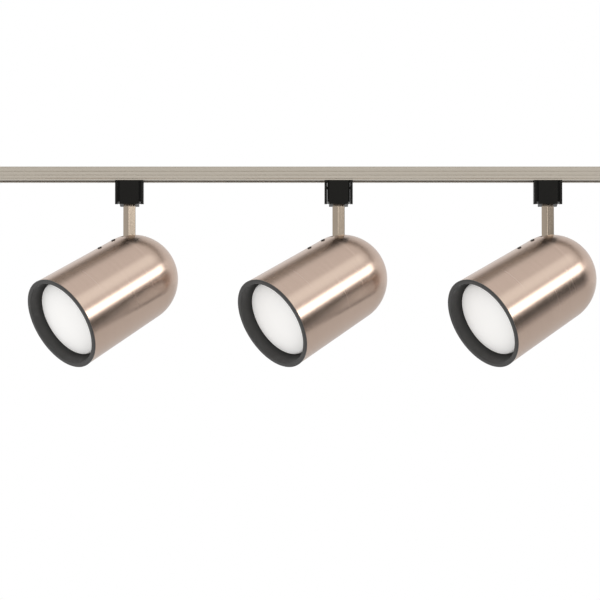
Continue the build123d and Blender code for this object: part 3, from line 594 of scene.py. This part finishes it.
def housing_angles(radius, strip=8, rest=184):
    """The columns' angles in each row: a strip between the slot's edges, then the rest of the way round."""
    edge = np.arcsin(SLOT_HALF / np.maximum(radius, SLOT_BACK_RADIUS))[:, None]
    inner = edge * np.linspace(-1.0, 1.0, strip, endpoint=False)[None, :]
    outer = edge + (2 * np.pi - 2 * edge) * np.linspace(0.0, 1.0, rest, endpoint=False)[None, :]
    return np.concatenate([inner, outer], axis=1)


# %% Housings
housing_radius, housing_station = housing_profile()
housing_angle = housing_angles(housing_radius)
slot_rows = (housing_station[:-1] > SLOT_FRONT - 1e-6) & (housing_radius[1:] > SLOT_BACK_RADIUS - 1e-6)
slot_columns = np.arange(housing_angle.shape[1]) < 8
housing_gap = slot_rows[:, None] & slot_columns[None, :]

for name in SIDES:
    housing_points = in_head(
        name,
        housing_radius[:, None] * np.cos(housing_angle),
        housing_radius[:, None] * np.sin(housing_angle),
        housing_station[:, None],
    )
    housing = make_piece(f"housing_{name}", housing_points, True, housing_gap, ("last",))
    wall = housing.modifiers.new("sheet", "SOLIDIFY")
    wall.thickness = SHEET
    wall.offset = -1.0
    wall.use_even_offset = True
    broken = housing.modifiers.new("broken_edges", "BEVEL")
    broken.width = 0.00022
    broken.segments = 2
    broken.limit_method = "ANGLE"
    broken.angle_limit = np.radians(50)
    broken.harden_normals = True
    finish_piece(housing, housing_nickel, "shell_nickel", f"head_{name}", f"shell_{name}")
    # The sheet's inner face takes the second finish, the painted shade of the inside.
    housing.data.materials.append(housing_inside_shade)
    wall.material_offset = 1
    wall.material_offset_rim = 0
print("housings made:", len(housing.data.polygons), "quads each, slot of", int(housing_gap.sum()))

# %% [markdown]
# ## Baffle ring
#
# The black ring in the mouth hides the sheet's edge and shades the lamp's rim from the side. Its outline
# is a handful of corners. `soften` rounds each corner with a short curve that starts and ends a little
# way along the two edges, and the closed outline is then carried round the lamp's axis.


# %% Rounded outlines
def soften(outline, radius, steps=5):
    """Round every corner of a closed outline.

    A corner C becomes the curve (1-t)^2 A + 2 t (1-t) C + t^2 B, where A and B lie on its two edges."""
    corners = np.array(outline, float)
    before = np.roll(corners, 1, axis=0) - corners
    after = np.roll(corners, -1, axis=0) - corners
    length_before = np.linalg.norm(before, axis=1, keepdims=True)
    length_after = np.linalg.norm(after, axis=1, keepdims=True)
    reach = np.minimum(np.minimum(length_before, length_after) * 0.45, radius)
    start = corners + before / length_before * reach
    end = corners + after / length_after * reach
    t = np.linspace(0.0, 1.0, steps)[None, :, None]
    curve = (1 - t) ** 2 * start[:, None] + 2 * t * (1 - t) * corners[:, None] + t ** 2 * end[:, None]
    return curve.reshape(-1, 2)


def close_rows(points):
    """Repeat the first row of a closed outline at the end, so that the grid closes along the outline too."""
    return np.concatenate([points, points[:1]], axis=0)


def merge_seam(piece):
    """Join the points that lie on each other where an outline closes."""
    work = bmesh.new()
    work.from_mesh(piece.data)
    bmesh.ops.remove_doubles(work, verts=work.verts, dist=1e-7)
    work.to_mesh(piece.data)
    work.free()


# %% Baffle rings
LIP_PROUD = 0.0022           # how far the lip stands out in front of the mouth
LIP_WIDTH = 0.0050
LIP_OVERHANG = 0.00025
COLLAR_DEPTH = 0.0070
BAFFLE_DEPTH = 0.0260
BAFFLE_TAPER = 0.0028
BAFFLE_WALL = 0.0012
SEAT = 0.00005
RING_SOFTNESS = 0.0009

lip_in = MOUTH_RADIUS - LIP_WIDTH
fit = MOUTH_RADIUS + (DOME_RADIUS - MOUTH_RADIUS) * COLLAR_DEPTH / DOME_STATION - SHEET - SEAT
baffle_outline = soften([
    (lip_in, -LIP_PROUD),
    (lip_in - BAFFLE_TAPER, BAFFLE_DEPTH),
    (lip_in - BAFFLE_TAPER + BAFFLE_WALL, BAFFLE_DEPTH),
    (fit - BAFFLE_WALL, COLLAR_DEPTH + BAFFLE_WALL),
    (fit, COLLAR_DEPTH),
    (fit, -SEAT),
    (MOUTH_RADIUS + LIP_OVERHANG, -SEAT),
    (MOUTH_RADIUS + LIP_OVERHANG, -LIP_PROUD),
][::-1], RING_SOFTNESS)

for name in SIDES:
    baffle_points = spun_about_axis(name, baffle_outline[:, 0], baffle_outline[:, 1], 192)
    baffle = make_piece(f"baffle_ring_{name}", close_rows(baffle_points), around=True)
    merge_seam(baffle)
    finish_piece(baffle, baffle_black, "baffle_black", f"head_{name}", f"baffle_{name}")
print("baffle rings made:", len(baffle.data.polygons), "quads each")

# %% [markdown]
# ## Reflector lamp
#
# The lamp is one blown bulb: a shallow domed face, a tight shoulder, and a flare that draws in to the
# neck. The face is an arc of a large sphere, and its height at a radius r is R - sqrt(R^2 - r^2). The
# shoulder is a quarter of an ellipse, and the flare is a Bezier curve through four control points. The
# UV map's V holds the station in metres, and the finish uses it to start the silvering.

# %% Lamp sizes and profile
LAMP_FACE = 0.0010
FACE_RADIUS = 0.0449
FACE_SAG = 0.0089
LAMP_RADIUS = 0.0475
SHOULDER = 0.0070
NECK_STATION = 0.1070
NECK_RADIUS = 0.0124
GLASS = 0.0009
SHOULDER_PULL = 0.15         # how soon the shoulder turns back, as a share of its depth
FLARE = ((1.0, 0.016), (0.72, 0.034), (0.42, 0.056))  # share of the radius, distance behind the widest part
NECK_FLARE = (0.0025, 0.018)  # how much wider the glass is, this far in front of the neck


def bezier(controls, steps):
    """A Bezier curve: each control point counts by its binomial weight C(n,k) t^k (1-t)^(n-k)."""
    controls = np.array(controls, float)
    degree = len(controls) - 1
    t = np.linspace(0.0, 1.0, steps)
    order = np.arange(degree + 1)
    ways = np.array([math.comb(degree, k) for k in order], float)
    weights = ways * t[:, None] ** order * (1 - t[:, None]) ** (degree - order)
    return weights @ controls


def lamp_profile():
    """Rows of (radius, station) from next to the face's middle, over the shoulder, down to the neck."""
    sphere = (FACE_RADIUS ** 2 + FACE_SAG ** 2) / (2 * FACE_SAG)
    face_r = np.linspace(0.0, FACE_RADIUS, 25)[1:]
    face = np.stack([face_r, LAMP_FACE + sphere - np.sqrt(sphere ** 2 - face_r ** 2)], axis=1)
    edge = LAMP_FACE + FACE_SAG
    widest = edge + SHOULDER
    turn = (LAMP_RADIUS, edge + SHOULDER_PULL * SHOULDER)
    shoulder = bezier([(FACE_RADIUS, edge), turn, (LAMP_RADIUS, widest)], 10)[1:]
    flare = bezier([
        (LAMP_RADIUS, widest),
        *((LAMP_RADIUS * share, widest + distance) for share, distance in FLARE),
        (NECK_RADIUS + NECK_FLARE[0], NECK_STATION - NECK_FLARE[1]),
        (NECK_RADIUS, NECK_STATION),
    ], 40)[1:]
    return np.concatenate([face, shoulder, flare])


# %% Lamps
lamp_rows = lamp_profile()
for name in SIDES:
    lamp_points = spun_about_axis(name, lamp_rows[:, 0], lamp_rows[:, 1], 160)
    lamp = make_piece(f"lamp_bulb_{name}", lamp_points, True, None, ("first",), lamp_rows[:, 1])
    glass = lamp.modifiers.new("glass", "SOLIDIFY")
    glass.thickness = GLASS
    glass.offset = -1.0
    finish_piece(lamp, frosted_glass, "frosted_glass", f"head_{name}", f"lamp_glass_{name}")
print("lamps made:", len(lamp.data.polygons), "faces each")

# %% [markdown]
# ## Rivets
#
# Two rivets on the top line hold the hinge bracket under the roof. Each head is a button in a sunk ring
# with a thin rim. The outline runs from the button's middle over the ring and the rim and down the shank
# to the tail. It is carried round the rivet's own axis, which stands square out of the housing's cone. An
# attribute marks the ring, and the finish paints it nearly black there, as painted shade in the sunk ring.

# %% Rivets
RIVET_STATIONS = (0.0910, 0.1129)
BRACKET_SHEET = 0.0015
RIVET_COLUMNS = 32
RIVET_GRIP = SHEET + SEAT + BRACKET_SHEET
RIVET_OUTLINE = [
    (0.00001, 0.00078),
    (0.00100, 0.00070),
    (0.00125, 0.00030),
    (0.00170, 0.00030),
    (0.00195, 0.00090),
    (0.00235, 0.00085),
    (0.00260, 0.00002),
    (0.00160, 0.00000),
    (0.00160, -RIVET_GRIP),
    (0.00230, -RIVET_GRIP - SEAT),
    (0.00210, -RIVET_GRIP - 0.0012),
    (0.00001, -RIVET_GRIP - 0.0013),
]

RING_ROWS = (2, 3, 4, 5, 6)   # the rows of the outline that the dark ring covers


def rivet_points(name, station, columns=RIVET_COLUMNS):
    """Rows of the outline carried round an axis that stands square out of the cone at a station."""
    slant = np.arcsin((MOUTH_RADIUS - DOME_RADIUS) / DOME_STATION)
    roof = MOUTH_RADIUS + (DOME_RADIUS - MOUTH_RADIUS) * station / DOME_STATION
    outline = np.array(RIVET_OUTLINE)
    angle = np.linspace(0.0, 2 * np.pi, columns, endpoint=False)[None, :]
    out = outline[:, 1][:, None]
    along = outline[:, 0][:, None] * np.cos(angle)
    across = outline[:, 0][:, None] * np.sin(angle)
    up = roof + out * np.cos(slant) - along * np.sin(slant)
    back = station + out * np.sin(slant) + along * np.cos(slant)
    return in_head(name, up, across, back)


for name in SIDES:
    for number, station in enumerate(RIVET_STATIONS):
        points = rivet_points(name, station)
        rivet = make_piece(f"rivet_{name}_{number}", points, True, None, ("first", "last"))
        # The ring's rows of the outline get the mask of painted shade; the button and the rim stay plain metal.
        ring_shade = np.zeros(len(rivet.data.vertices), np.float32)
        ring_shaded = np.isin(np.arange(len(RIVET_OUTLINE)), RING_ROWS)
        ring_shade[:len(RIVET_OUTLINE) * RIVET_COLUMNS] = np.repeat(ring_shaded, RIVET_COLUMNS)
        rivet.data.attributes.new("ring_shade", "FLOAT", "POINT").data.foreach_set("value", ring_shade)
        stands_for = (f"bracket_rivets_{name}",) if number == 0 else ()
        finish_piece(rivet, rivet_metal, "rivet_metal", f"head_{name}", *stands_for)
print("rivets made")
